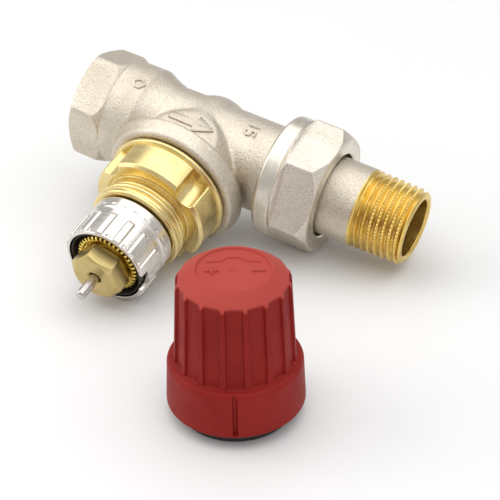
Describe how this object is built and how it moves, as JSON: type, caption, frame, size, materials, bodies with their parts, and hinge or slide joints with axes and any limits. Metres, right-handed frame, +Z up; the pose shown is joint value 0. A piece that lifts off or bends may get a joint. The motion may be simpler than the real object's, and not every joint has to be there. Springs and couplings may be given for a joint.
{
  "type": "thermostatic radiator valve",
  "caption": "Straight radiator valve with a pre-setting insert and sprung pin, a union tailpiece, and a fluted screw-on protective cap standing beside it.",
  "frame": {"origin": "bottom centre of the bounding box of the valve and its cap, on the table they lie on", "axes": "+Z up; +X level along the pipe from inlet to tail; -Y level towards the bonnet's pin and the cap"},
  "size_m": [0.0978, 0.1014, 0.0418],
  "materials": {
    "nickel_plate": "satin nickel plate, blasted",
    "brass": "turned, bright",
    "bright_metal": "bright plate",
    "pin_steel": "ground",
    "spring_steel": "drawn wire",
    "rubber": "matt",
    "black_plastic": "moulded",
    "red_plastic": "moulded, fine grain"
  },
  "bodies": {
    "valve": {"valve_body": "nickel_plate", "insert_housing": "brass", "housing_o_ring": "rubber"},
    "tail": {"tailpiece": "nickel_plate"},
    "nut": {"union_nut": "nickel_plate"},
    "sleeve": {"setting_sleeve": "brass", "sleeve_o_ring": "rubber", "sleeve_clip": "spring_steel", "ring_spring": "spring_steel", "gland_nut": "brass", "gland_o_ring": "rubber", "gland_washer": "brass", "return_spring": "spring_steel"},
    "ring": {"setting_ring": "bright_metal", "ring_core": "black_plastic"},
    "pin": {"pressure_pin": "pin_steel", "spindle": "brass", "closing_cone": "brass", "cone_seal": "rubber"},
    "cap_foot": {"cap_base": "black_plastic"},
    "cap": {"cap_shell": "red_plastic"}
  },
  "joints": [
    {"name": "tail_draw", "type": "slide", "parent": "valve", "child": "tail", "axis": [0.9884, 0, -0.1516], "range_m": [0, 0.02]},
    {"name": "nut_spin", "type": "hinge", "parent": "tail", "child": "nut", "pos_m": [-0.01327, 0.03385, 0.02178], "axis": [0.9884, 0, -0.1516], "continuous": true},
    {"name": "sleeve_turn", "type": "hinge", "parent": "valve", "child": "sleeve", "pos_m": [-0.01327, 0.03385, 0.02178], "axis": [-0.0335, -0.9752, -0.2186], "range_deg": [0, 315]},
    {"name": "ring_pull", "type": "slide", "parent": "sleeve", "child": "ring", "axis": [-0.0335, -0.9752, -0.2186], "range_m": [0, 0.0025], "stiffness_N_per_m": 300, "springref_m": -0.003, "deforming": ["ring_spring"]},
    {"name": "pin_press", "type": "slide", "parent": "sleeve", "child": "pin", "axis": [0.0335, 0.9752, 0.2186], "range_m": [0, 0.0025], "stiffness_N_per_m": 800, "springref_m": -0.01, "deforming": ["return_spring"]},
    {"name": "cap_lift", "type": "slide", "parent": "valve", "child": "cap_foot", "axis": [0, 0, 1], "range_m": [0, 0.06]},
    {"name": "cap_turn", "type": "hinge", "parent": "cap_foot", "child": "cap", "pos_m": [0.03313, -0.03495, 0], "axis": [0, 0, 1], "range_deg": [0, 360]}
  ]
}
